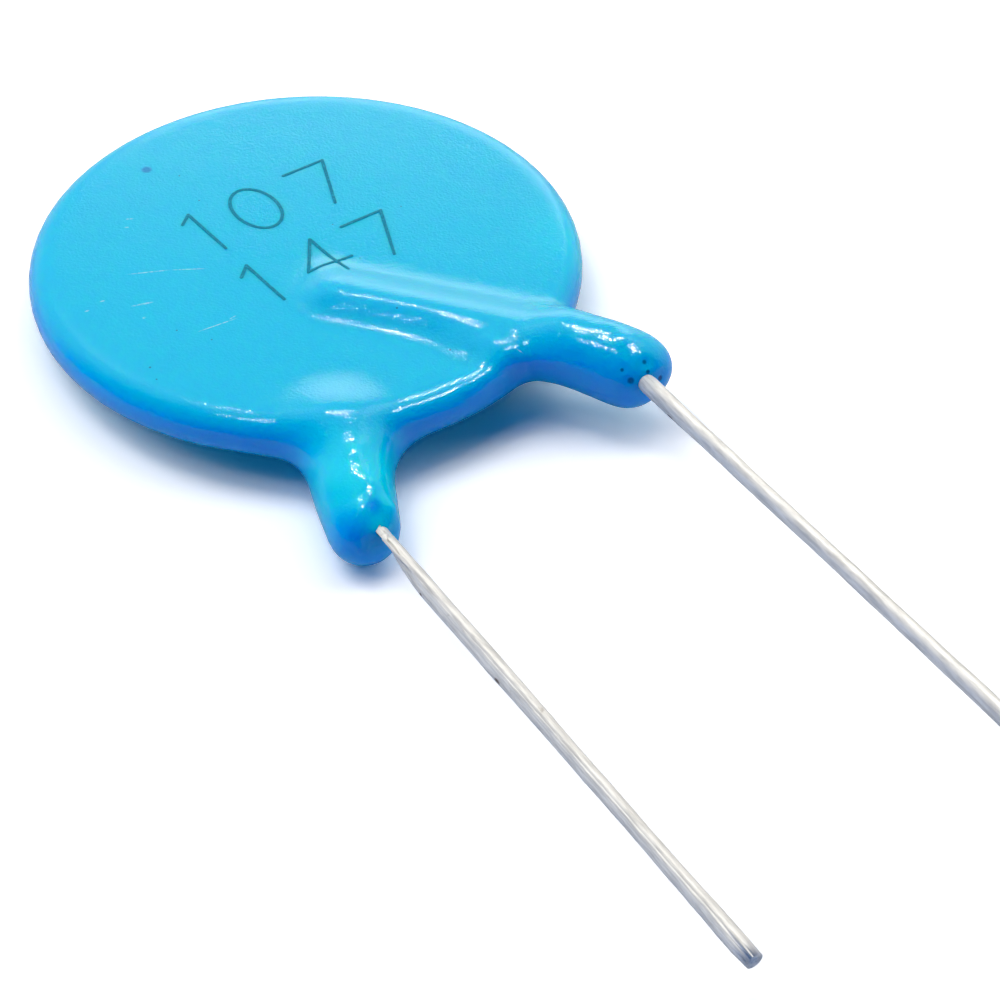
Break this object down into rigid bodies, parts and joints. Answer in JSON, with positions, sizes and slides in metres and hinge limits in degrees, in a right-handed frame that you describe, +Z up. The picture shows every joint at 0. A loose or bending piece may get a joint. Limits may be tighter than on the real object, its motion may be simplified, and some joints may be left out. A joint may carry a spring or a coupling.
{
  "type": "ceramic disc capacitor",
  "caption": "Glossy blue dipped disc capacitor with an inner lead ridge, rounded coated legs and two straight tinned wire leads, lying flat.",
  "frame": {"origin": "on the resting surface, below the middle of the whole object's outline in plan", "axes": "+Y from the lead ends towards the disc, +Z up out of the marked face, +X across the two leads"},
  "size_m": [0.0186, 0.0394, 0.0037],
  "materials": {
    "ceramic": "matt",
    "fired_silver": "matt",
    "tinned_wire": "satin",
    "solder": "satin",
    "blue_coat": "gloss"
  },
  "bodies": {
    "root": {"ceramic_disc": "ceramic", "front_electrode": "fired_silver", "back_electrode": "fired_silver", "front_lead": "tinned_wire", "back_lead": "tinned_wire", "front_solder": "solder", "back_solder": "solder", "epoxy_coating": "blue_coat"}
  },
  "joints": []
}
